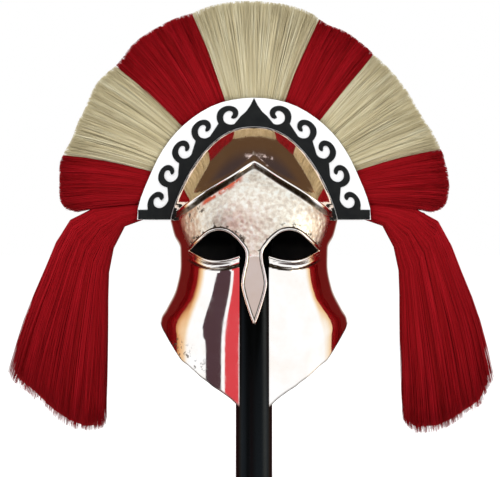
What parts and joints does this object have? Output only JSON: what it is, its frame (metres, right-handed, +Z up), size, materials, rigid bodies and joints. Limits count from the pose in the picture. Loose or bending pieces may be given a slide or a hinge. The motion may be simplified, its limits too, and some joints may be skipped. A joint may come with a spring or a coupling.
{
  "type": "corinthian helmet on a post stand",
  "caption": "Polished Corinthian helmet with nasal, cheek plates and a transverse horsehair crest, on a plain black post and round foot.",
  "frame": {"origin": "on the post's axis at the underside of the foot", "axes": "+Z up; the face looks along -Y; +X to the right when the face is seen from the front, along the crest"},
  "size_m": [0.5688, 0.2825, 0.6085],
  "materials": {
    "bronze": "mirror polished, faint hammering",
    "crest_wood": "black stained",
    "board_white": "matt white paint",
    "scroll_black": "matt black paint",
    "hair_red": "dyed horsehair",
    "hair_cream": "natural horsehair",
    "stand_black": "satin black lacquer"
  },
  "bodies": {
    "root": {"helmet_shell": "bronze", "crest_core": "crest_wood", "crest_front_board": "board_white", "crest_back_board": "board_white", "scroll_front": "scroll_black", "scroll_back": "scroll_black", "plume_1_red": "hair_red", "plume_2_cream": "hair_cream", "plume_3_red": "hair_red", "plume_4_cream": "hair_cream", "plume_5_red": "hair_red", "plume_6_cream": "hair_cream", "plume_7_red": "hair_red", "tail_left": "hair_red", "tail_right": "hair_red", "stand_post": "stand_black", "stand_foot": "stand_black"}
  },
  "joints": []
}
